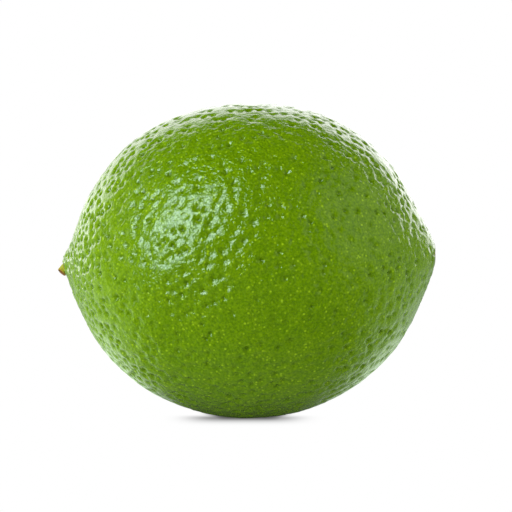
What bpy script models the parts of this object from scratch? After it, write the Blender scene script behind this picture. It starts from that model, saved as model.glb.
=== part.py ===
"""A whole lime lying on its side, with the dry button of its stem still on it.

The fruit's long axis runs along X: the stem end points to -X and the blossom end to +X,
a little raised. The origin is at the bottom, under the middle of the whole lime, and the
lime rests on the small flat spot at z = 0. Lengths are in metres and angles in radians.
"""

import math

import bmesh
import bpy
from mathutils import Matrix, Vector

# Driving dimensions: the fruit
FRUIT_RADIUS = 0.0264  # half the thickness, round the middle
BODY_HALF_LENGTH = 0.02955  # half the length, without the two raised ends
BLOSSOM_RISE = 0.00166  # how far the blunt tip of the blossom end stands out
BLOSSOM_SPREAD = 0.216  # angle from the tip over which that rise fades away
NECK_RISE = 0.0020  # how far the broad neck at the stem end stands out
NECK_SPREAD = 0.269
SHOULDER_SWELL = 0.010  # how much fuller than an egg the two shoulders are
UPPER_SWELL = 0.010  # and how much more so on the upper side
OVAL_SWELL = 0.004  # how much the round section is oval
OVAL_TURN = 0.3
LOBE_SWELL = 0.003  # how much it is three-sided
LOBE_TURN = -0.4
AXIS_RISE = math.radians(2.8)  # how far the blossom end lies above level
REST_FLAT_DEPTH = 0.00055  # how much of the round belly the flat spot takes off

# Driving dimensions: the collar of rind round the stem, and the socket inside it
COLLAR_RISE = 0.0009  # above the neck
COLLAR_SPREAD = 0.125
COLLAR_UPPER_SHARE = 0.75  # how much of that rise the upper side has more, and the lower less
SOCKET_RADIUS = 0.0021
SOCKET_DEPTH = 0.0004  # from the socket's rim to its floor

# Driving dimensions: the button that sits in the socket
PIECE_GAP = 0.0003  # between the fruit and the button
BUTTON_THICKNESS = 0.0006
BUTTON_PROFILE = ((0.0, 0.9), (0.5, 1.0), (1.0, 0.85))  # shares of its thickness and radius
BUTTON_LOBES = 5
NOTCH_DEPTH = 0.14  # between the lobes, as a share of the button's radius
STUB_RADIUS = 0.0009
STUB_LENGTH = 0.0012
STUB_PROFILE = ((0.0, 1.2), (0.4, 1.0), (1.0, 0.95))  # shares of its length and radius
STUB_START = 0.00072  # where the stub begins, from the button's back
STUB_DROOP = math.radians(12)  # how far the stub points below the socket's own axis
CUT_SLANT = math.radians(22)  # how far its cut end leans past that

# Fineness of the faceted solids
FRUIT_SIDES = 56
FRUIT_RINGS = 44
RING_CROWDING = 0.6  # how much closer the rings lie near the two ends
BUTTON_SIDES = 30
SNAP_DISTANCE = 0.00005  # within which the flat spot's cut takes a corner to be on it
SHARP_ANGLE = math.radians(40)  # edges bent more than this are shaded as edges


def make_material(name, colour, roughness):
    material = bpy.data.materials.new(name)
    material.use_nodes = True
    shader = material.node_tree.nodes["Principled BSDF"]
    shader.inputs["Base Color"].default_value = (*colour, 1.0)
    shader.inputs["Roughness"].default_value = roughness
    shader.inputs["Metallic"].default_value = 0.0
    return material


def ring_of(point_at, sides):
    """The points that point_at gives for evenly spaced turns round the X axis."""
    return [point_at(2 * math.pi * i / sides) for i in range(sides)]


def circle(x, radius, sides):
    return ring_of(lambda turn: Vector((x, radius * math.cos(turn), radius * math.sin(turn))), sides)


def loft(rings, first_tip, last_tip):
    """A closed solid that joins rings of points, with a fan round a tip at each end."""
    mesh = bmesh.new()
    loops = [[mesh.verts.new(point) for point in ring] for ring in rings]
    for near, far in zip(loops, loops[1:]):
        for i in range(len(near)):
            after = (i + 1) % len(near)
            mesh.faces.new((near[i], near[after], far[after], far[i]))
    for loop, tip in ((loops[0], first_tip), (loops[-1], last_tip)):
        tip_vert = mesh.verts.new(tip)
        for i in range(len(loop)):
            mesh.faces.new((loop[i], loop[(i + 1) % len(loop)], tip_vert))
    bmesh.ops.recalc_face_normals(mesh, faces=mesh.faces)
    return mesh


def add_object(name, mesh, material):
    data = bpy.data.meshes.new(name)
    mesh.to_mesh(data)
    mesh.free()
    data.materials.append(material)
    data.shade_smooth()
    data.set_sharp_from_angle(angle=SHARP_ANGLE)
    added = bpy.data.objects.new(name, data)
    bpy.context.scene.collection.objects.link(added)
    return added


def skin_point(from_tip, turn):
    """A point of the rind, from_tip 0 at the blossom end and pi at the stem end."""
    from_stem = math.pi - from_tip
    upward = math.sin(turn)
    collar = COLLAR_RISE * (1 + COLLAR_UPPER_SHARE * upward)
    x = BODY_HALF_LENGTH * math.cos(from_tip)
    x += BLOSSOM_RISE * math.exp(-((from_tip / BLOSSOM_SPREAD) ** 2))
    x -= NECK_RISE * math.exp(-((from_stem / NECK_SPREAD) ** 2))
    x -= collar * math.exp(-((from_stem / COLLAR_SPREAD) ** 4))
    shoulder = math.sin(2 * from_tip) ** 2 * (SHOULDER_SWELL + UPPER_SWELL * upward)
    section = OVAL_SWELL * math.cos(2 * (turn - OVAL_TURN)) + LOBE_SWELL * math.cos(3 * (turn - LOBE_TURN))
    radius = FRUIT_RADIUS * math.sin(from_tip) * (1 + shoulder + section * math.sin(from_tip) ** 2)
    return Vector((x, radius * math.cos(turn), radius * math.sin(turn)))


def socket_rim():
    """How far round from the blossom end the rim of the socket lies."""
    return math.pi - math.asin(SOCKET_RADIUS / FRUIT_RADIUS)


def seat():
    """The place of the socket's floor: its centre, and -X pointing straight out of it."""
    upper = skin_point(socket_rim(), math.pi / 2)
    lower = skin_point(socket_rim(), -math.pi / 2)
    lean = math.atan2(lower.x - upper.x, upper.z - lower.z)
    turned = Matrix.Rotation(-lean, 4, "Y")
    return Matrix.Translation((upper + lower) / 2) @ turned @ Matrix.Translation((SOCKET_DEPTH, 0, 0))


def make_fruit():
    """Rind and flesh grew as one piece, so the whole fruit is one solid."""
    rings = []
    for i in range(1, FRUIT_RINGS + 1):
        share = i / FRUIT_RINGS
        share -= RING_CROWDING * math.sin(2 * math.pi * share) / (2 * math.pi)
        rings.append(ring_of(lambda turn: skin_point(socket_rim() * share, turn), FRUIT_SIDES))
    floor = seat()
    rings.append([floor @ point for point in circle(0, SOCKET_RADIUS - SOCKET_DEPTH / 2, FRUIT_SIDES)])
    return loft(rings, skin_point(0, 0), floor.translation)


def make_stem_button():
    """The dry lobed disc of the calyx with a short stub of the stem, cut on a slant."""
    disc_radius = SOCKET_RADIUS - SOCKET_DEPTH / 2 - PIECE_GAP

    def lobed(x, radius):
        def point_at(turn):
            reach = radius * (1 - NOTCH_DEPTH * (1 - math.cos(BUTTON_LOBES * turn)) / 2)
            return Vector((x, reach * math.cos(turn), reach * math.sin(turn)))

        return ring_of(point_at, BUTTON_SIDES)

    rings = [lobed(-BUTTON_THICKNESS * up, disc_radius * wide) for up, wide in BUTTON_PROFILE]
    for along, wide in STUB_PROFILE:
        droop = Matrix.Rotation(-STUB_DROOP * along, 3, "Y")
        slant = Matrix.Rotation(-CUT_SLANT * along, 3, "Y")
        centre = droop @ Vector((-STUB_START - STUB_LENGTH * along, 0, 0))
        ring = circle(0, STUB_RADIUS * wide, BUTTON_SIDES)
        rings.append([centre + droop @ slant @ point for point in ring])
    mesh = loft(rings, Vector((0, 0, 0)), sum(rings[-1], Vector()) / BUTTON_SIDES)
    mesh.transform(seat() @ Matrix.Translation((-PIECE_GAP, 0, 0)))
    return mesh


def lay_down(fruit, button):
    """Tips the lime to its resting pose, centres it on the origin and cuts its flat spot."""
    raise_tip = Matrix.Rotation(-AXIS_RISE, 4, "Y")
    for mesh in (fruit, button):
        mesh.transform(raise_tip)
    lowest = min(vert.co.z for vert in fruit.verts)
    everything = [vert.co for mesh in (fruit, button) for vert in mesh.verts]
    middle_x = (min(co.x for co in everything) + max(co.x for co in everything)) / 2
    middle_y = (min(co.y for co in everything) + max(co.y for co in everything)) / 2
    onto_origin = Matrix.Translation((-middle_x, -middle_y, -lowest - REST_FLAT_DEPTH))
    for mesh in (fruit, button):
        mesh.transform(onto_origin)
    cut = bmesh.ops.bisect_plane(
        fruit,
        geom=fruit.verts[:] + fruit.edges[:] + fruit.faces[:],
        dist=SNAP_DISTANCE,
        plane_co=(0, 0, 0),
        plane_no=(0, 0, -1),
        clear_outer=True,
    )
    rim = [item for item in cut["geom_cut"] if isinstance(item, bmesh.types.BMEdge)]
    for vert in {vert for edge in rim for vert in edge.verts}:
        vert.co.z = 0.0
    bmesh.ops.contextual_create(fruit, geom=rim)
    bmesh.ops.recalc_face_normals(fruit, faces=fruit.faces)


for leftover in list(bpy.data.objects):
    bpy.data.objects.remove(leftover, do_unlink=True)

rind = make_material("rind", (0.15, 0.30, 0.01), 0.35)
dry_stem = make_material("dry_stem", (0.30, 0.20, 0.06), 0.75)

fruit_mesh = make_fruit()
button_mesh = make_stem_button()
lay_down(fruit_mesh, button_mesh)
add_object("fruit", fruit_mesh, rind)
add_object("stem_button", button_mesh, dry_stem)
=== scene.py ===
"""A whole lime lying on a pale studio floor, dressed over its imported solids.

The fruit's long axis runs along X, with the stem end at -X and the blossom end at +X, a
little raised. Lengths are in metres and angles in radians.
"""

import math

import bmesh
import bpy
from mathutils import Matrix, Vector, noise


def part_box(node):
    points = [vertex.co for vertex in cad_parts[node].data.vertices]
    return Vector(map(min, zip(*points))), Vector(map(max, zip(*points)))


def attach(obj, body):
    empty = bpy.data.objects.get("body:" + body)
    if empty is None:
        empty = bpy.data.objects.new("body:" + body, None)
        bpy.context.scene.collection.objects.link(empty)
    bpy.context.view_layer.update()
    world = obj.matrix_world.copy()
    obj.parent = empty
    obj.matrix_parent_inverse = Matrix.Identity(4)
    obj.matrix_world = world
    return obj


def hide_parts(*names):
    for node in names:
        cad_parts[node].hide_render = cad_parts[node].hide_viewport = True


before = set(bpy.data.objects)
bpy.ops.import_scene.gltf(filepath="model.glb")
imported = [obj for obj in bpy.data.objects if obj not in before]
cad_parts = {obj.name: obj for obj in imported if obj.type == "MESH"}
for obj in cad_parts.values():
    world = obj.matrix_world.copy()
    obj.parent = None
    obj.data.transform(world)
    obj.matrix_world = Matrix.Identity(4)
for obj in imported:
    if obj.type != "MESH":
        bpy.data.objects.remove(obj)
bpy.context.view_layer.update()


# The whole fruit. Rind, pith and flesh grew as one piece under a waxy green skin, which is full
# of oil glands that show as pits and as paler dots. A node tree grows it to the rule of the
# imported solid: a full egg with a blunt blossom end, and a neck and a collar round the stem.

RADIUS_SHARE = 0.4988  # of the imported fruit's width
CENTRE_SHARES = (0.5114, 0.5, 0.4934)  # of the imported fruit's box

# Rises, swells and the socket are shares of the radius, and spreads are angles from an end.
fruit_low, fruit_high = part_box("fruit")
fruit_sizes = {
    "Radius": RADIUS_SHARE * (fruit_high.y - fruit_low.y),
    "Body centre": tuple(
        low + share * (high - low)
        for low, high, share in zip(fruit_low, fruit_high, CENTRE_SHARES)
    ),
    "Axis rise": math.radians(2.8),
    "Half length": 1.1193,
    "Blossom rise": 0.0629,
    "Blossom spread": 0.216,
    "Neck rise": 0.0758,
    "Neck spread": 0.269,
    "Collar rise": 0.0290,
    "Collar spread": 0.125,
    "Collar upper share": 0.75,
    "Shoulder swell": 0.010,
    "Upper swell": 0.010,
    "Oval swell": 0.004,
    "Oval turn": 0.3,
    "Lobe swell": 0.003,
    "Lobe turn": -0.4,
    "Socket radius": 0.0795,
    "Socket depth": 0.0152,
    "Socket floor share": 0.80,
    "Socket rim share": 1.04,
    "Lump width": 0.0078,
    "Lump height": 0.00020,
    "Lump sink": 0.3,
    "Ripple width": 0.0013,
    "Ripple height": 0.00009,
    "Furrow depth": 0.00016,
    "Furrows from the tip": 0.26,
    "Furrow spread at the tip": 0.16,
    "Furrows from the stem": 0.24,
    "Furrow spread at the stem": 0.13,
    "Wrinkle width": 0.0011,
    "Wrinkle depth": 0.00014,
    "Wrinkle spread": 0.62,
    "Stem end spread": 0.95,
    "Blossom end spread": 0.70,
    "Scar spread": 0.034,
    "Cell spacing": 0.00105,
    "Cells to a square metre": 1.2e6,
    "Cell reach": 0.00104,
    "Cell reach at the stem": 0.00088,
    "Cell depth": 0.00018,
    "Cell depth at the stem": 0.00029,
    "Pit radius": 0.00060,
    "Pit depth": 0.00031,
    "Flat softness": 0.0004,
    "Corners a side": 129,
    "Seed": 4,
}
FLAT_TOPPED = 4.0  # the power of a bell that stays near 1 for most of its spread
NEAR_AXIS = 0.001  # the least that a length is taken to be where something is divided by it
FURROW_WIDTH = 0.42
FURROW_DRIFT = 0.4  # how much the furrows change along the fruit
BLOSSOM_END_SHARE = 0.5  # how much of the stem end's character the blossom end has
CELL_DENSITY = (0.55, 1.0)  # away from the stem, and at it
UNEVENNESS_WIDTH = 0.0050
UNEVENNESS = (2.0, 0.6)  # of the cells' depth, away from the stem and at it
LEAST_CELL_DEPTH = 0.45  # as a share of a cell's usual depth
PIT_RARITY = 2.0  # the higher, the fewer pits are deep


def feed(slot, value):
    """Joins a node's input to what another node puts out, or sets it to a plain value."""
    if isinstance(value, Quantity):
        value.tree.links.new(value.socket, slot)
    else:
        slot.default_value = value


class Quantity:
    """What a node puts out, so that a rule of growth can be written as a formula."""

    def __init__(self, socket):
        self.socket = socket
        self.tree = socket.id_data

    def by(self, operation, *others):
        node = self.tree.nodes.new("ShaderNodeMath")
        node.operation = operation
        for slot, value in zip(node.inputs, (self, *others)):
            feed(slot, value)
        return Quantity(node.outputs[0])

    def vector(self, operation, *others, gives="Vector"):
        node = self.tree.nodes.new("ShaderNodeVectorMath")
        node.operation = operation
        for slot, value in zip(node.inputs, (self, *others)):
            feed(slot, value)
        return Quantity(node.outputs[gives])

    def scaled(self, factor):
        node = self.tree.nodes.new("ShaderNodeVectorMath")
        node.operation = "SCALE"
        feed(node.inputs["Vector"], self)
        feed(node.inputs["Scale"], factor)
        return Quantity(node.outputs["Vector"])

    def parts(self):
        node = self.tree.nodes.new("ShaderNodeSeparateXYZ")
        feed(node.inputs[0], self)
        return [Quantity(output) for output in node.outputs]

    def __add__(self, other):
        return self.by("ADD", other)

    def __sub__(self, other):
        return self.by("SUBTRACT", other)

    def __mul__(self, other):
        return self.by("MULTIPLY", other)

    def __truediv__(self, other):
        return self.by("DIVIDE", other)

    def __neg__(self):
        return self.by("MULTIPLY", -1.0)

    def __radd__(self, other):
        return self.by("ADD", other)

    def __rmul__(self, other):
        return self.by("MULTIPLY", other)

    def __rsub__(self, other):
        return self.by("MULTIPLY_ADD", -1.0, other)

    def __rtruediv__(self, other):
        return self.by("POWER", -1.0) * other

    def from_to(self, low, high):
        """Low where this is nought, and high where it is 1."""
        return self * (high - low) + low

    def bell(self, spread, power=2.0):
        """1 where this is nought, and fading to nought past the spread."""
        return (-(self / spread).by("ABSOLUTE").by("POWER", power)).by("EXPONENT")

    def bowl(self, reach):
        """1 where this is nought, falling to nought with no edge at the reach."""
        share = (self / reach).by("MINIMUM", 1.0)
        hill = 1.0 - share * share
        return hill * hill


def place(tree, kind, inputs=None, gives=0, **settings):
    """Adds a node, sets it up, feeds its inputs and gives back one of its outputs."""
    node = tree.nodes.new(kind)
    for name, value in settings.items():
        setattr(node, name, value)
    for name, value in (inputs or {}).items():
        feed(node.inputs[name], value)
    return Quantity(node.outputs[gives])


def ramp(value, span, low, high):
    """Low before the span, high past it, and a smooth rise or fall between."""
    inputs = {"Value": value, "From Min": span[0], "From Max": span[1], "To Min": low, "To Max": high}
    return place(value.tree, "ShaderNodeMapRange", inputs, interpolation_type="SMOOTHSTEP")


def together(x, y, z):
    """A vector of three quantities."""
    return place(x.tree, "ShaderNodeCombineXYZ", {"X": x, "Y": y, "Z": z})


def cloud(where, width, detail=2.0, roughness=0.5):
    """Smooth noise from about -0.5 to 0.5, whose swellings are about as wide as given."""
    inputs = {"Vector": where, "Scale": 1.0 / width, "Detail": detail, "Roughness": roughness}
    return place(where.tree, "ShaderNodeTexNoise", inputs) - 0.5


def start_tree(name, kind, inputs, outputs):
    """A node tree with the named inputs and outputs, and what its inputs bring in."""
    tree = bpy.data.node_groups.new(name, kind)
    for way, sockets in (("INPUT", inputs), ("OUTPUT", outputs)):
        for socket_name, socket_type in sockets.items():
            tree.interface.new_socket(socket_name, in_out=way, socket_type="NodeSocket" + socket_type)
    entry = tree.nodes.new("NodeGroupInput")
    return tree, {socket.name: Quantity(socket) for socket in entry.outputs if socket.name}


socket_types = {float: "Float", int: "Int", tuple: "Vector"}
rind_inputs = {name: socket_types[type(value)] for name, value in fruit_sizes.items()}
rind_inputs["Skin"] = "Material"
rind_tree, size = start_tree("lime_rind", "GeometryNodeTree", rind_inputs, {"Geometry": "Geometry"})


def store(geometry, name, value, kind="FLOAT", domain="POINT"):
    """Keeps a value on the skin under a name."""
    inputs = {"Geometry": geometry, "Name": name, "Value": value}
    return place(rind_tree, "GeometryNodeStoreNamedAttribute", inputs, data_type=kind, domain=domain)


def stored(name, kind="FLOAT"):
    return place(rind_tree, "GeometryNodeInputNamedAttribute", {"Name": name}, data_type=kind)


def moved(geometry, **inputs):
    """Puts the skin at a position, or moves it by an offset."""
    inputs = {name.capitalize(): value for name, value in inputs.items()}
    return place(rind_tree, "GeometryNodeSetPosition", {"Geometry": geometry, **inputs})


position = place(rind_tree, "GeometryNodeInputPosition")
outward = place(rind_tree, "GeometryNodeInputNormal")

# A cube of even squares is blown up to a ball, so that no faces crowd together at a pole.
cube_inputs = {f"Vertices {axis}": size["Corners a side"] for axis in "XYZ"}
cube_inputs["Size"] = (2.0, 2.0, 2.0)
cube = place(rind_tree, "GeometryNodeMeshCube", cube_inputs)
even = [(part * (math.pi / 4)).by("TANGENT") for part in position.parts()]
ball = store(cube, "bearing", together(*even).vector("NORMALIZE"), "FLOAT_VECTOR")

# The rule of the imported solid, in shares of the radius.
along, sideways, up = stored("bearing", "FLOAT_VECTOR").parts()
across = (sideways * sideways + up * up).by("SQRT")
from_tip = across.by("ARCTAN2", along)
from_stem = across.by("ARCTAN2", -along)
turn = up.by("ARCTAN2", sideways)
upward = up / across.by("MAXIMUM", NEAR_AXIS)
collar = size["Collar rise"] * (1.0 + size["Collar upper share"] * upward)
reach = size["Half length"] * along
reach = reach + size["Blossom rise"] * from_tip.bell(size["Blossom spread"])
reach = reach - size["Neck rise"] * from_stem.bell(size["Neck spread"])
reach = reach - collar * from_stem.bell(size["Collar spread"], FLAT_TOPPED)
both_shoulders = (along * across * 2.0).by("POWER", 2.0)
shoulder = both_shoulders * (size["Shoulder swell"] + size["Upper swell"] * upward)
oval = size["Oval swell"] * ((turn - size["Oval turn"]) * 2.0).by("COSINE")
lobes = size["Lobe swell"] * ((turn - size["Lobe turn"]) * 3.0).by("COSINE")
fullness = 1.0 + shoulder + (oval + lobes) * across * across


def skin_reach(stem_angle, upward_share):
    """The same rule near the stem, worked out for one place."""
    collar_here = fruit_sizes["Collar rise"] * (1 + fruit_sizes["Collar upper share"] * upward_share)
    neck_bell = math.exp(-((stem_angle / fruit_sizes["Neck spread"]) ** 2))
    collar_bell = math.exp(-((stem_angle / fruit_sizes["Collar spread"]) ** FLAT_TOPPED))
    body_reach = -fruit_sizes["Half length"] * math.cos(stem_angle)
    return body_reach - fruit_sizes["Neck rise"] * neck_bell - collar_here * collar_bell


# The socket under the stem: a flat floor that leans as the collar's rim does.
rim_angle = math.asin(fruit_sizes["Socket radius"])
rim_above = skin_reach(rim_angle, 1.0)
rim_below = skin_reach(rim_angle, -1.0)
rim_slope = (rim_above - rim_below) / (2 * fruit_sizes["Socket radius"])
floor_reach = size["Socket depth"] + (rim_above + rim_below) / 2 + rim_slope * up
socket_edge = [size["Socket radius"] * size[name] for name in ("Socket floor share", "Socket rim share")]
in_socket = ramp(across, socket_edge, along.by("LESS_THAN", 0.0), 0.0)
reach = reach + (floor_reach - reach) * in_socket

grown = together(reach, fullness * sideways, fullness * up).scaled(size["Radius"])
turn_inputs = {"Vector": grown, "Axis": (0.0, 1.0, 0.0), "Angle": -size["Axis rise"]}
tipped = place(rind_tree, "ShaderNodeVectorRotate", turn_inputs, rotation_type="AXIS_ANGLE")
body = moved(ball, position=tipped.vector("ADD", size["Body centre"]))

# Soft lumps all over, furrows that run into both ends, and wrinkles round the blossom end.
# A cloud swings half its height either way, so each is doubled.
near_tip = (from_tip - size["Furrows from the tip"]).bell(size["Furrow spread at the tip"])
near_stem = (from_stem - size["Furrows from the stem"]).bell(size["Furrow spread at the stem"])
spoke = together(along * FURROW_DRIFT, sideways / across.by("MAXIMUM", NEAR_AXIS), upward)
furrows = cloud(spoke, FURROW_WIDTH, detail=1.0) * (near_tip + near_stem)
wrinkles = cloud(position, size["Wrinkle width"]) * from_tip.bell(size["Wrinkle spread"])
lumps = cloud(position, size["Lump width"], detail=0.0) - size["Lump sink"]
ripples = cloud(position, size["Ripple width"], detail=1.0)
relief = lumps * size["Lump height"] * 2.0 + ripples * size["Ripple height"] * 2.0
relief = relief + furrows * size["Furrow depth"] * 2.0 + wrinkles * size["Wrinkle depth"] * 2.0
body = moved(body, offset=outward.scaled(relief * (1.0 - in_socket)))
body = store(body, "smooth_skin", position, "FLOAT_VECTOR")
at_stem = from_stem.bell(size["Stem end spread"], FLAT_TOPPED)
at_blossom = from_tip.bell(size["Blossom end spread"], FLAT_TOPPED)
body = store(body, "stem_end", at_stem)
body = store(body, "ends", at_stem + at_blossom * BLOSSOM_END_SHARE)


def scatter(spacing, seed):
    """Scatters glands over the skin, each with a random share of its own."""
    inputs = {
        "Mesh": body,
        "Distance Min": spacing,
        "Density Max": size["Cells to a square metre"],
        "Density Factor": stored("stem_end").from_to(*CELL_DENSITY),
        "Seed": seed,
    }
    settings = {"distribute_method": "POISSON"}
    points = place(rind_tree, "GeometryNodeDistributePointsOnFaces", inputs, **settings)
    return points, place(rind_tree, "FunctionNodeRandomValue", {"Seed": seed}, gives=1)


def nearest(glands, share):
    """The centre and the share of the gland that lies nearest to each place of the skin."""
    inputs = {"Geometry": glands, "Sample Position": smooth_skin}
    index = place(rind_tree, "GeometryNodeSampleNearest", inputs, domain="POINT")
    inputs = {"Geometry": glands, "Index": index, "Value": position}
    centre = place(rind_tree, "GeometryNodeSampleIndex", inputs, data_type="FLOAT_VECTOR")
    inputs = {"Geometry": glands, "Index": index, "Value": share}
    return centre, place(rind_tree, "GeometryNodeSampleIndex", inputs, data_type="FLOAT")


# Each gland sits in a shallow cell of the skin, and some have a deeper pit in the middle.
smooth_skin = stored("smooth_skin", "FLOAT_VECTOR")
stem_end = stored("stem_end")
pit_centre, pit_share = nearest(*scatter(size["Cell spacing"], size["Seed"]))
from_centre = smooth_skin.vector("DISTANCE", pit_centre, gives="Value")
swing = cloud(smooth_skin, UNEVENNESS_WIDTH, detail=1.0) * stem_end.from_to(*UNEVENNESS)
cell_reach = stem_end.from_to(size["Cell reach"], size["Cell reach at the stem"])
cell_depth = stem_end.from_to(size["Cell depth"], size["Cell depth at the stem"])
cell = from_centre.bowl(cell_reach) * cell_depth * (swing + 1.0).by("MAXIMUM", LEAST_CELL_DEPTH)
pit = from_centre.bowl(size["Pit radius"]) * size["Pit depth"] * pit_share.by("POWER", PIT_RARITY)

body = store(body, "pit_centre", pit_centre, "FLOAT_VECTOR", "FACE")
body = store(body, "pit_share", pit_share, "FLOAT", "FACE")
body = store(body, "tip_scar", from_tip.bell(size["Scar spread"], FLAT_TOPPED))
body = moved(body, offset=outward.scaled(-(cell + pit) * (1.0 - in_socket)))

# The flat spot it rests on.
x, y, z = position.parts()
body = moved(body, position=together(x, y, z.by("SMOOTH_MAX", 0.0, size["Flat softness"])))
body = place(rind_tree, "GeometryNodeRemoveAttribute", {"Geometry": body, "Name": "bearing"})
body = place(rind_tree, "GeometryNodeRemoveAttribute", {"Geometry": body, "Name": "stem_end"})
body = place(rind_tree, "GeometryNodeSetShadeSmooth", {"Geometry": body})
body = place(rind_tree, "GeometryNodeRealizeInstances", {"Geometry": body})
body = place(rind_tree, "GeometryNodeSetMaterial", {"Geometry": body, "Material": size["Skin"]})
feed(rind_tree.nodes.new("NodeGroupOutput").inputs["Geometry"], body)

# Clouds, which the rind and the dry stem both have: as a share for patches of colour, and as a
# swing either way for fine relief. The patches' edges are sharper the higher the contrast.
cloud_inputs = {"Vector": "Vector"}
cloud_inputs |= {name: "Float" for name in ("Scale", "Detail", "Roughness", "Contrast")}
cloud_outputs = {"Swing": "Float", "Share": "Float"}
cloud_tree, given = start_tree("skin_clouds", "ShaderNodeTree", cloud_inputs, cloud_outputs)
noise_inputs = {name: given[name] for name in ("Vector", "Scale", "Detail", "Roughness")}
cloud_swing = place(cloud_tree, "ShaderNodeTexNoise", noise_inputs) - 0.5
cloud_share = (cloud_swing * given["Contrast"] + 0.5).by("MAXIMUM", 0.0).by("MINIMUM", 1.0)
cloud_exit = cloud_tree.nodes.new("NodeGroupOutput")
feed(cloud_exit.inputs["Swing"], cloud_swing)
feed(cloud_exit.inputs["Share"], cloud_share)


def skin_clouds(where, width, gives, contrast=1.0, detail=2.0, roughness=0.5):
    """Clouds about as wide as given: their Swing from -0.5 to 0.5, or their Share from 0 to 1."""
    inputs = {"Vector": where, "Scale": 1.0 / width, "Detail": detail, "Roughness": roughness}
    inputs["Contrast"] = contrast
    return place(where.tree, "ShaderNodeGroup", inputs, gives=gives, node_tree=cloud_tree)


def new_material(name, colour, roughness):
    """A material with its tree and the slots of its one shader, plain until nodes drive them."""
    material = bpy.data.materials.new(name)
    material.use_nodes = True
    shader = material.node_tree.nodes["Principled BSDF"]
    shader.inputs["Base Color"].default_value = (*colour, 1.0)
    shader.inputs["Roughness"].default_value = roughness
    return material, material.node_tree, shader.inputs


def mixed(first, second, share):
    """One colour laid over another by a share from 0 to 1."""
    node = share.tree.nodes.new("ShaderNodeMix")
    node.data_type = "RGBA"
    colour_slots = [slot for slot in node.inputs if slot.type == "RGBA"]
    feed(node.inputs["Factor"], share)
    for slot, colour in zip(colour_slots, (first, second)):
        feed(slot, (*colour, 1.0) if isinstance(colour, tuple) else colour)
    return Quantity(next(slot for slot in node.outputs if slot.type == "RGBA"))


def attribute(tree, name, gives="Fac"):
    return place(tree, "ShaderNodeAttribute", gives=gives, attribute_name=name)


def bumped(tree, height):
    """The skin's own direction, tilted by fine relief of a height in metres."""
    inputs = {"Strength": 1.0, "Distance": 1.0, "Height": height}
    return place(tree, "ShaderNodeBump", inputs)


# Waxy rind: leaf green with yellower and deeper patches, a fine dark speckle, a paler dot over
# each gland, painted shade in the middle of each cell and in the tight throat of each pit,
# painted light on the ridges between the cells towards both ends, a brown scar where the
# blossom fell off, and a thin coat of wax whose shine is broken up by a fine ripple.
LEAF_GREEN = (0.116, 0.229, 0.0004)
DEEP_GREEN = (0.090, 0.191, 0.0004)
YELLOW_GREEN = (0.166, 0.289, 0.0006)
# The darker green of the random speckle, and of the painted shade in the cells and pits.
DARK_SPECKLE_AND_SHADE_GREEN = (0.050, 0.125, 0.0004)
GLAND_GREEN = (0.27, 0.44, 0.008)
RIDGE_LIGHT_GREEN = (0.22, 0.38, 0.002)
SCAR_BROWN = (0.20, 0.13, 0.05)
# How strongly each colour is laid on. A pair is for the belly and for the two ends.
LEAF_LEAST = 0.3
YELLOW_STRENGTH = 0.40
SPECKLE_STRENGTH = (0.70, 0.76)
GLAND_STRENGTH = 0.95
GLAND_LEAST = 0.2
PIT_SHADE_STRENGTH = (0.06, 0.28)
RIDGE_LIGHT_STRENGTH = 0.25
THROAT_SHADE_STRENGTH = 0.4
# How wide the marks are.
BROAD_PATCH = 0.0130
CLOSE_PATCH = 0.0028
SPECKLE_WIDTH = 0.00038
GLAND_SPACING = 0.00079
GLAND_SPREAD = 0.21  # of the spacing
GLAND_ROUNDNESS = 3.0
THROAT_RADIUS = 0.00026
THROAT_RARITY = 3.0
PIT_SHADE_RADIUS = 0.00050
RIDGE_REACH = 0.00095
# The wax and its fine relief.
GRAIN_WIDTH = 0.00036
GRAIN_HEIGHT = 0.00005
RIPPLE_WIDTH = 0.00066
RIPPLE_HEIGHT = (0.00024, 0.00010)  # on the belly, and at the two ends
THROAT_DEPTH = 0.00018
GLAND_DIMPLE = 0.000014
DULL_PATCH = 0.004
RIND_ROUGHNESS = 0.14
ROUGHNESS_SWING = 0.06
WAX_TURN = (0.30, 0.75)  # from skin seen face on to skin seen at a glance
WAX_WEIGHT = (0.30, 0.68)

rind, rind_shader, rind_slots = new_material("waxy_lime_rind", LEAF_GREEN, 0.30)
here = place(rind_shader, "ShaderNodeTexCoord", gives="Object")
skin_here = attribute(rind_shader, "smooth_skin", "Vector")
ends = attribute(rind_shader, "ends")
gland_inputs = {"Vector": here, "Scale": 1.0 / GLAND_SPACING}
gland_away = place(rind_shader, "ShaderNodeTexVoronoi", gland_inputs, gives="Distance")
gland_share, _, _ = place(rind_shader, "ShaderNodeTexVoronoi", gland_inputs, gives="Color").parts()
gland_dot = gland_away.bell(GLAND_SPREAD, GLAND_ROUNDNESS) * gland_share.from_to(GLAND_LEAST, 1.0)
pit_away = skin_here.vector("DISTANCE", attribute(rind_shader, "pit_centre", "Vector"), gives="Value")
pit_throat = pit_away.bell(THROAT_RADIUS)
pit_throat = pit_throat * attribute(rind_shader, "pit_share").by("POWER", THROAT_RARITY)
# Painted shade: the middle of each cell is darkened, most towards both ends.
painted_pit_shade = pit_away.bell(PIT_SHADE_RADIUS) * ends.from_to(*PIT_SHADE_STRENGTH)
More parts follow.
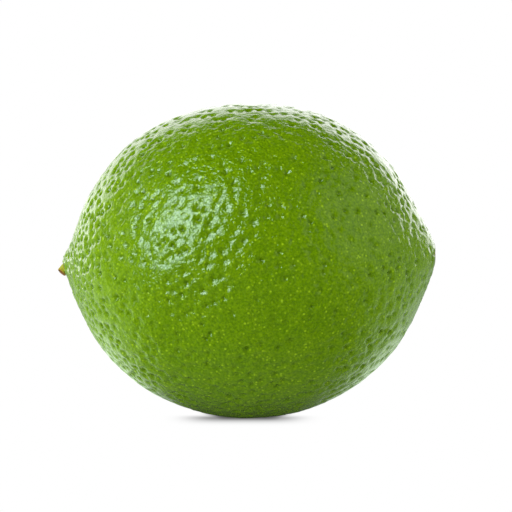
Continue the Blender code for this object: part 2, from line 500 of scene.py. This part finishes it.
# Painted light: the ridges between the cells are made paler towards both ends.
painted_ridge_light = (1.0 - pit_away.bowl(RIDGE_REACH)) * ends
leafy = skin_clouds(here, BROAD_PATCH, "Share", contrast=2.2).from_to(LEAF_LEAST, 1.0)
yellow = skin_clouds(here, CLOSE_PATCH, "Share", contrast=2.4, detail=3.0, roughness=0.6)
speckle = skin_clouds(here, SPECKLE_WIDTH, "Share", contrast=3.4, roughness=0.6)
colour = mixed(DEEP_GREEN, LEAF_GREEN, leafy)
colour = mixed(colour, YELLOW_GREEN, yellow * YELLOW_STRENGTH)
colour = mixed(colour, DARK_SPECKLE_AND_SHADE_GREEN, speckle * ends.from_to(*SPECKLE_STRENGTH))
colour = mixed(colour, GLAND_GREEN, gland_dot * GLAND_STRENGTH)
colour = mixed(colour, DARK_SPECKLE_AND_SHADE_GREEN, painted_pit_shade)
colour = mixed(colour, RIDGE_LIGHT_GREEN, painted_ridge_light * RIDGE_LIGHT_STRENGTH)
# Painted shade: the throat of each deeper pit is darkened in colour, besides being sunk by the bump.
colour = mixed(colour, DARK_SPECKLE_AND_SHADE_GREEN, pit_throat * THROAT_SHADE_STRENGTH)
colour = mixed(colour, SCAR_BROWN, attribute(rind_shader, "tip_scar"))
feed(rind_slots["Base Color"], colour)
grain = skin_clouds(here, GRAIN_WIDTH, "Swing", detail=1.0, roughness=0.4)
ripple = skin_clouds(here, RIPPLE_WIDTH, "Swing", detail=1.0)
dull = skin_clouds(here, DULL_PATCH, "Swing")
feed(rind_slots["Roughness"], RIND_ROUGHNESS + grain * ROUGHNESS_SWING + dull * ROUGHNESS_SWING)
glancing = place(rind_shader, "ShaderNodeLayerWeight", {"Blend": 0.5}, gives="Facing")
feed(rind_slots["Coat Weight"], ramp(glancing, WAX_TURN, *WAX_WEIGHT))
height = grain * GRAIN_HEIGHT + ripple * ends.from_to(*RIPPLE_HEIGHT)
height = height - pit_throat * THROAT_DEPTH - gland_dot * GLAND_DIMPLE
feed(rind_slots["Normal"], bumped(rind_shader, height))
rind_slots["IOR"].default_value = 1.50
rind_slots["Specular IOR Level"].default_value = 0.30
rind_slots["Coat Roughness"].default_value = 0.09
rind_slots["Coat IOR"].default_value = 1.53


def grow(name, tree, sizes, skin):
    """Runs a node tree once and keeps what it grows as a plain mesh."""
    piece = bpy.data.objects.new(name, bpy.data.meshes.new(name))
    bpy.context.scene.collection.objects.link(piece)
    modifier = piece.modifiers.new(name, "NODES")
    modifier.node_group = tree
    for item in tree.interface.items_tree:
        if item.in_out == "INPUT":
            modifier[item.identifier] = sizes.get(item.name, skin)
    depsgraph = bpy.context.evaluated_depsgraph_get()
    grown_mesh = bpy.data.meshes.new_from_object(piece.evaluated_get(depsgraph), depsgraph=depsgraph)
    piece.modifiers.remove(modifier)
    piece.data = grown_mesh
    return piece


whole_fruit = grow("whole_fruit", rind_tree, fruit_sizes, rind)
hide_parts("fruit")
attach(whole_fruit, "root")


# The dry button. It is what is left of the calyx and the stem: a small lobed disc, grown fast
# in the collar's socket, with the stub that was cut across on a slant when the lime was picked.

DISC_RADIUS = 0.00146
STUB_RADIUS = 0.00082
# Each step of the outline: how far out of the socket, radius, share of lobes, share of stub
BUTTON_OUTLINE = (
    (0.00000, 0.80 * DISC_RADIUS, 0.6, 0.0),
    (0.00008, 0.97 * DISC_RADIUS, 1.0, 0.0),
    (0.00019, 1.00 * DISC_RADIUS, 1.0, 0.0),
    (0.00029, 0.93 * DISC_RADIUS, 1.0, 0.0),
    (0.00034, 0.80 * DISC_RADIUS, 0.9, 0.0),
    (0.00032, 0.70 * DISC_RADIUS, 0.6, 0.0),
    (0.00040, 1.10 * STUB_RADIUS, 0.3, 0.0),
    (0.00064, 1.00 * STUB_RADIUS, 0.1, 0.1),
    (0.00088, 0.95 * STUB_RADIUS, 0.0, 0.4),
    (0.00113, 0.95 * STUB_RADIUS, 0.0, 0.7),
    (0.00140, 1.00 * STUB_RADIUS, 0.0, 0.95),
    (0.00150, 0.95 * STUB_RADIUS, 0.0, 1.0),
    (0.00151, 0.80 * STUB_RADIUS, 0.0, 1.0),
    (0.00146, 0.55 * STUB_RADIUS, 0.0, 1.0),
    (0.00148, 0.30 * STUB_RADIUS, 0.0, 1.0),
    (0.00149, 0.06 * STUB_RADIUS, 0.0, 1.0),
)
CUT_STEP = 11  # the outline's step at which the cut end begins
STEPS_BETWEEN = 5
BUTTON_SIDES = 90
BUTTON_LOBES = 5
LOBE_TURN = 0.6
NOTCH_DEPTH = 0.16  # as a share of the radius
GROOVE_DEPTH = 0.07
LOBE_SMOOTHNESS = 0.5  # how much shallower the grooves are on the lobes
GROOVES_ALONG = 300
GROOVES_ROUND = 5
CRUST_HEIGHT = 0.00005
CRUST_FINENESS = 2500
STUB_TINT = (0.0003, 0.0002)  # how far out the tint begins, and over how much it comes in
CUT_TINT = (0.0011, 0.0004)
SEAT_SINK = 0.00010
STUB_DROP = 0.00022
STUB_DROOP = math.radians(18)
CUT_SLANT = math.radians(18)
CUT_TURN = math.radians(30)

seat_lean = math.atan2(rim_below - rim_above, 2 * fruit_sizes["Socket radius"])
seat_centre = (rim_above + rim_below) / 2 + fruit_sizes["Socket depth"]
seat_reach = fruit_sizes["Radius"] * seat_centre - SEAT_SINK
onto_fruit = Matrix.Translation(fruit_sizes["Body centre"])
onto_fruit = onto_fruit @ Matrix.Rotation(-fruit_sizes["Axis rise"], 4, "Y")
onto_fruit = onto_fruit @ Matrix.Translation((seat_reach, 0, 0))
onto_fruit = onto_fruit @ Matrix.Rotation(-seat_lean, 4, "Y")


def between(before, start, end, after, share):
    """A smooth step from start to end, as a bent spline takes it."""
    slope_in = (end - before) / 2
    slope_out = (after - start) / 2
    cubed = share**3
    squared = share**2
    value = (2 * cubed - 3 * squared + 1) * start + (cubed - 2 * squared + share) * slope_in
    return value + (3 * squared - 2 * cubed) * end + (cubed - squared) * slope_out


def smooth_outline(steps, finer):
    """The outline with finer steps between its own."""
    padded = (steps[0], *steps, steps[-1])
    rows = []
    for i in range(1, len(padded) - 2):
        for j in range(finer):
            rows.append([between(*values, j / finer) for values in zip(*padded[i - 1 : i + 3])])
    rows.append(list(steps[-1]))
    return rows


def share_past(out, start, fade):
    """0 up to the start, and rising to 1 over the fade past it."""
    return min(1.0, max(0.0, (out - start) / fade))


def stem_loop(out, radius, lobed, stub):
    """One loop of points round the button, grooved along and crusted all over."""
    leaned = Matrix.Rotation(-STUB_DROOP * stub, 3, "Y")
    slanted = leaned @ Matrix.Rotation(-CUT_SLANT * stub, 3, "Y")
    slanted = slanted @ Matrix.Rotation(CUT_TURN * stub, 3, "Z")
    points = []
    for i in range(BUTTON_SIDES):
        angle = 2 * math.pi * i / BUTTON_SIDES
        ring_place = Vector((0, math.cos(angle), math.sin(angle)))
        _, level, upright = ring_place
        groove_place = (out * GROOVES_ALONG, GROOVES_ROUND * level, GROOVES_ROUND * upright)
        crust_place = [part * CRUST_FINENESS for part in (out, radius * level, radius * upright)]
        groove = noise.noise(Vector(groove_place)) * (1 - lobed * LOBE_SMOOTHNESS)
        crust = noise.noise(Vector(crust_place))
        notch = NOTCH_DEPTH * lobed * (1 - math.cos(BUTTON_LOBES * angle + LOBE_TURN)) / 2
        width = radius * (1 - notch) * (1 + GROOVE_DEPTH * groove)
        middle = leaned @ Vector((-out - CRUST_HEIGHT * crust, 0, -STUB_DROP * stub))
        points.append(onto_fruit @ (slanted @ (ring_place * width) + middle))
    return points


button_mesh = bmesh.new()
on_cut = button_mesh.verts.layers.float.new("on_cut")
on_stub = button_mesh.verts.layers.float.new("on_stub")
near_cut = button_mesh.verts.layers.float.new("near_cut")
loops = []
for number, row in enumerate(smooth_outline(BUTTON_OUTLINE, STEPS_BETWEEN)):
    past_cut = number > STEPS_BETWEEN * CUT_STEP
    loop = [button_mesh.verts.new(point) for point in stem_loop(*row)]
    for vert in loop:
        vert[on_cut] = 1.0 if past_cut else 0.0
        vert[on_stub] = 1.0 if past_cut else share_past(row[0], *STUB_TINT)
        vert[near_cut] = 1.0 if past_cut else share_past(row[0], *CUT_TINT)
    loops.append(loop)
for near, far in zip(loops, loops[1:]):
    for i in range(BUTTON_SIDES):
        after = (i + 1) % BUTTON_SIDES
        button_mesh.faces.new((near[i], near[after], far[after], far[i]))
button_mesh.faces.new(loops[0])
button_mesh.faces.new(loops[-1])
bmesh.ops.recalc_face_normals(button_mesh, faces=button_mesh.faces)
button_data = bpy.data.meshes.new("dry_button")
button_mesh.to_mesh(button_data)
button_mesh.free()
button_data.shade_smooth()
dry_button = bpy.data.objects.new("dry_button", button_data)
bpy.context.scene.collection.objects.link(dry_button)

# Dry stem tissue: a dull olive disc, a yellow-green stub that browns towards the cut, and a
# brown, blotched cut end, all finely fibrous.
DISC_OLIVE = (0.150, 0.175, 0.018)
STUB_GREEN = (0.25, 0.28, 0.004)
STUB_OCHRE = (0.31, 0.20, 0.006)
CUT_BROWN = (0.20, 0.075, 0.003)
CUT_DARK = (0.050, 0.024, 0.003)
BLOTCH_WIDTH = 0.0006
BLOTCH_STRENGTH = 0.35
FIBRE_WIDTH = 0.00012
FIBRE_HEIGHT = 0.00003
FIBRE_DULLNESS = 0.2
STEM_ROUGHNESS = 0.75

stem, stem_shader, stem_slots = new_material("dry_stem_tissue", DISC_OLIVE, STEM_ROUGHNESS)
stem_here = place(stem_shader, "ShaderNodeTexCoord", gives="Object")
blotches = skin_clouds(stem_here, BLOTCH_WIDTH, "Share", contrast=3.0, detail=3.0, roughness=0.6)
fibres = skin_clouds(stem_here, FIBRE_WIDTH, "Swing", roughness=0.6)
tissue = mixed(DISC_OLIVE, STUB_GREEN, attribute(stem_shader, "on_stub"))
tissue = mixed(tissue, STUB_OCHRE, attribute(stem_shader, "near_cut"))
tissue = mixed(tissue, mixed(CUT_BROWN, CUT_DARK, blotches), attribute(stem_shader, "on_cut"))
tissue = mixed(tissue, CUT_DARK, blotches * BLOTCH_STRENGTH)
feed(stem_slots["Base Color"], tissue)
feed(stem_slots["Roughness"], STEM_ROUGHNESS + fibres * FIBRE_DULLNESS)
feed(stem_slots["Normal"], bumped(stem_shader, fibres * FIBRE_HEIGHT))
stem_slots["Specular IOR Level"].default_value = 0.20
button_data.materials.append(stem)

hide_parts("stem_button")
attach(dry_button, "root")


# The studio. A pale sweep of floor runs into a bright white room. A tall oval softbox leans on
# the left, with large pale cards at both sides and one behind on the left. Each lamp gives
# either light or shine, so that the two can be set apart. The camera is a little above level.

CAMERA_AZIMUTH = math.radians(10)
CAMERA_RISE = math.radians(5)
CAMERA_DISTANCE = 0.229
CAMERA_LENS = 96.0
CAMERA_SENSOR = 36.0
CAMERA_REACH = (0.01, 20.0)
AIM_RIGHT = 0.0012
AIM_ABOVE = 0.0008


def towards(azimuth, rise):
    """A direction from the fruit; azimuth 0 is towards -Y, and it grows towards +X."""
    level = math.cos(rise)
    return Vector((math.sin(azimuth) * level, -math.cos(azimuth) * level, math.sin(rise)))


fruit_middle = Vector(fruit_sizes["Body centre"])
camera_side = towards(CAMERA_AZIMUTH, CAMERA_RISE)
camera_right = Vector((math.cos(CAMERA_AZIMUTH), math.sin(CAMERA_AZIMUTH), 0))
camera_up = camera_side.cross(camera_right)
camera_data = bpy.data.cameras.new("studio_camera")
camera_data.sensor_width = CAMERA_SENSOR
camera_data.lens = CAMERA_LENS
camera_data.clip_start, camera_data.clip_end = CAMERA_REACH
camera = bpy.data.objects.new("studio_camera", camera_data)
camera.location = fruit_middle + camera_side * CAMERA_DISTANCE
camera.location += camera_right * AIM_RIGHT + camera_up * AIM_ABOVE
camera.rotation_euler = camera_side.to_track_quat("Z", "Y").to_euler()
bpy.context.scene.collection.objects.link(camera)
bpy.context.scene.camera = camera
bpy.context.scene.view_settings.view_transform = "Standard"
bpy.context.scene.view_settings.look = "None"

NEUTRAL = (1.0, 1.0, 1.0)
DAYLIGHT = (0.78, 1.0, 1.0)
SOFTBOX_LEAN = 20


def soft_light(name, bearing_and_rise, distance, oval, brightness, use, colour=NEUTRAL, lean=0):
    """An oval soft light that faces the fruit; its bearing is in degrees left of the camera."""
    left, rise = bearing_and_rise
    width, tall = oval
    data = bpy.data.lights.new(name, "AREA")
    data.shape = "ELLIPSE"
    data.size = width
    data.size_y = tall
    data.energy = brightness * math.pi * (math.pi / 4 * width * tall)
    data.color = colour
    light = bpy.data.objects.new(name, data)
    aim = towards(CAMERA_AZIMUTH - math.radians(left), math.radians(rise))
    light.location = fruit_middle + aim * distance
    facing = aim.to_track_quat("Z", "Y").to_matrix()
    light.rotation_euler = (facing @ Matrix.Rotation(math.radians(-lean), 3, "Z")).to_euler()
    light.visible_camera = False
    light.visible_diffuse = use == "fill"
    light.visible_glossy = use == "shine"
    bpy.context.scene.collection.objects.link(light)


soft_light("left_softbox_shine", (46, 31), 0.45, (0.17, 0.40), 8.2, "shine", DAYLIGHT, SOFTBOX_LEAN)
soft_light("left_softbox_edge", (48, 29), 0.451, (0.22, 0.54), 3.9, "shine", DAYLIGHT, SOFTBOX_LEAN)
soft_light("left_softbox_fill", (50, 15), 0.45, (0.36, 0.50), 4.45, "fill")
soft_light("left_back_card_shine", (130, 6), 0.60, (0.28, 0.56), 1.15, "shine")
soft_light("right_card_shine", (-74, 22), 0.60, (0.80, 0.70), 0.46, "shine")
soft_light("right_card_fill", (-62, 44), 0.60, (0.60, 0.60), 2.90, "fill")
soft_light("left_card_fill", (104, 20), 0.60, (0.36, 0.70), 4.90, "fill")

# The room is white to look at. The light it gives is brightest from just behind both sides. For
# its shine it is dark in front and bright behind, as a room with one lit backdrop is. A pair
# says where on the way backwards, upwards or rightwards the glow begins and ends to change.
LIT_SIDES = (-0.1, 0.5)
DIM_MIDDLE = (0.5, 1.0)
DIM_UPPER_ROOM = (0.2, 1.0)
BACKDROP_EDGE = (0.52, 0.80)
BACKDROP_TOP = (0.55, 0.85)
LEFT_TO_RIGHT = (-0.6, 0.4)
FRONT_GLOW = 0.31
SIDE_GLOW = 2.70
MIDDLE_SHARE = 0.35
UPPER_SHARE = 0.25
FRONT_SHINE = 0.002
BACKDROP_SHINE = 1.8
CEILING_SHARE = 0.05
LEFT_SHARE = 0.72
RIGHT_SHARE = 1.08

room = bpy.data.worlds.new("bright_room")
room.use_nodes = True
room_tree = room.node_tree
room_tree.nodes.clear()
bearing = place(room_tree, "ShaderNodeTexCoord", gives="Generated").vector("NORMALIZE")
front = tuple(towards(CAMERA_AZIMUTH, 0.0))
rightwards = tuple(camera_right)
behind = -bearing.vector("DOT_PRODUCT", front, gives="Value")
rightward = bearing.vector("DOT_PRODUCT", rightwards, gives="Value")
_, _, overhead = bearing.parts()
is_seen = place(room_tree, "ShaderNodeLightPath", gives="Is Camera Ray")
is_shine = place(room_tree, "ShaderNodeLightPath", gives="Is Glossy Ray")
shine = ramp(behind, BACKDROP_EDGE, FRONT_SHINE, BACKDROP_SHINE)
shine = shine * ramp(overhead, BACKDROP_TOP, 1.0, CEILING_SHARE)
shine = shine * ramp(rightward, LEFT_TO_RIGHT, LEFT_SHARE, RIGHT_SHARE)
ambient = ramp(behind, LIT_SIDES, FRONT_GLOW, SIDE_GLOW) * ramp(behind, DIM_MIDDLE, 1.0, MIDDLE_SHARE)
ambient = ambient * ramp(overhead, DIM_UPPER_ROOM, 1.0, UPPER_SHARE)
glow = is_seen + (1.0 - is_seen) * (is_shine * shine + (1.0 - is_shine) * ambient)
backdrop = place(room_tree, "ShaderNodeBackground", {"Color": (*NEUTRAL, 1.0), "Strength": glow})
feed(room_tree.nodes.new("ShaderNodeOutputWorld").inputs["Surface"], backdrop)
bpy.context.scene.world = room

# The floor is a wide white sweep, just under the fruit. It glows, so that it stays white up to
# the room. Where the fruit stands, a contact shadow is painted into its glow rather than cast by
# the lamps: a dark patch of painted shadow, with a thin painted wing at each side. Its shine is
# a little green, as beside a green fruit, and brightest close behind it.
FLOOR_REACH = 3.0
FLOOR_SIDES = 96
FLOOR_DROP = 0.00002
OPENNESS_REACH = 0.03
WING_EDGE = (-0.0055, -0.0020)
WING_DEPTH = 0.0078
WING_WIDTH = 0.0088
WING_MIDDLE = 0.0006
CONTACT_DEPTH = 0.0076
CONTACT_WIDTH = 0.0066
CONTACT_MIDDLE = 0.0012
CONTACT_SHARPNESS = 6.0
SHADOW_DARKNESS = 0.97
GREEN_BOUNCE = (0.80, 1.0, 0.74)
SHINE_TURN = (-0.7, 0.3)  # from in front of the fruit to behind it
SHINE_BEHIND = 1.48
NEAR_RING = (0.020, 0.070)
NEAR_SHARES = (1.25, 0.45)
FAR_RING = (0.07, 0.20)
FAR_SHARES = (1.0, 0.5)
RIGHT_SIDE = (0.0, 0.04)
RIGHT_SHARES = (1.0, 0.82)
CLOSE_RING = (0.012, 0.045)
CLOSE_SHINE = (0.42, 0.0)
FLOOR_GLOW = 0.50
OPEN_FLOOR_GLOW = 0.66
BACK_FLOOR = (0.0, 0.10)
BACK_GLOW = (0.0, 0.5)
LEFT_FLOOR = (0.005, 0.045)
LEFT_GLOW = (0.0, 0.35)

floor_mesh = bmesh.new()
bmesh.ops.create_circle(floor_mesh, cap_ends=True, radius=FLOOR_REACH, segments=FLOOR_SIDES)
bmesh.ops.translate(floor_mesh, verts=floor_mesh.verts, vec=(0, 0, -FLOOR_DROP))
floor_data = bpy.data.meshes.new("studio_floor")
floor_mesh.to_mesh(floor_data)
floor_mesh.free()
studio_floor = bpy.data.objects.new("studio_floor", floor_data)
bpy.context.scene.collection.objects.link(studio_floor)

sweep = bpy.data.materials.new("pale_sweep")
sweep.use_nodes = True
sweep_tree = sweep.node_tree
sweep_tree.nodes.clear()
floor_here = place(sweep_tree, "ShaderNodeTexCoord", gives="Object")
floor_behind = -floor_here.vector("DOT_PRODUCT", front, gives="Value")
floor_right = floor_here.vector("DOT_PRODUCT", rightwards, gives="Value")
floor_away = floor_here.vector("LENGTH", gives="Value")
floor_turn = floor_behind / floor_away.by("MAXIMUM", NEAR_AXIS)
floor_seen = place(sweep_tree, "ShaderNodeLightPath", gives="Is Camera Ray")
floor_shine = place(sweep_tree, "ShaderNodeLightPath", gives="Is Glossy Ray")
open_inputs = {"Distance": OPENNESS_REACH}
openness = place(sweep_tree, "ShaderNodeAmbientOcclusion", open_inputs, gives="AO", samples=16)

# Painted shadow: the floor's glow, as the camera sees it, is darkened under the fruit and just in front
# of it.
painted_shadow_wings = ramp(floor_behind, WING_EDGE, 1.0, 0.0) * floor_behind.bell(WING_DEPTH, FLAT_TOPPED)
painted_shadow_wings = painted_shadow_wings * (floor_right - WING_MIDDLE).bell(WING_WIDTH, FLAT_TOPPED)
painted_contact_shadow = floor_behind.bell(CONTACT_DEPTH, CONTACT_SHARPNESS)
painted_contact_shadow = painted_contact_shadow * (floor_right - CONTACT_MIDDLE).bell(CONTACT_WIDTH, CONTACT_SHARPNESS)
seen_glow = 1.0 - painted_shadow_wings.by("MAXIMUM", painted_contact_shadow) * SHADOW_DARKNESS
shine_glow = openness * ramp(floor_turn, SHINE_TURN, 0.0, SHINE_BEHIND)
shine_glow = shine_glow * ramp(floor_away, NEAR_RING, *NEAR_SHARES)
shine_glow = shine_glow * ramp(floor_away, FAR_RING, *FAR_SHARES)
shine_glow = shine_glow * ramp(floor_right, RIGHT_SIDE, *RIGHT_SHARES)
shine_glow = shine_glow + openness * ramp(floor_away, CLOSE_RING, *CLOSE_SHINE)
other_glow = openness * OPEN_FLOOR_GLOW + FLOOR_GLOW + ramp(floor_behind, BACK_FLOOR, *BACK_GLOW)
other_glow = other_glow + ramp(-floor_right, LEFT_FLOOR, *LEFT_GLOW)
floor_glow = floor_shine * shine_glow + (1.0 - floor_shine) * other_glow
floor_glow = floor_seen * seen_glow + (1.0 - floor_seen) * floor_glow
floor_tint = mixed(NEUTRAL, GREEN_BOUNCE, floor_shine)
floor_light = place(sweep_tree, "ShaderNodeEmission", {"Color": floor_tint, "Strength": floor_glow})
feed(sweep_tree.nodes.new("ShaderNodeOutputMaterial").inputs["Surface"], floor_light)
floor_data.materials.append(sweep)
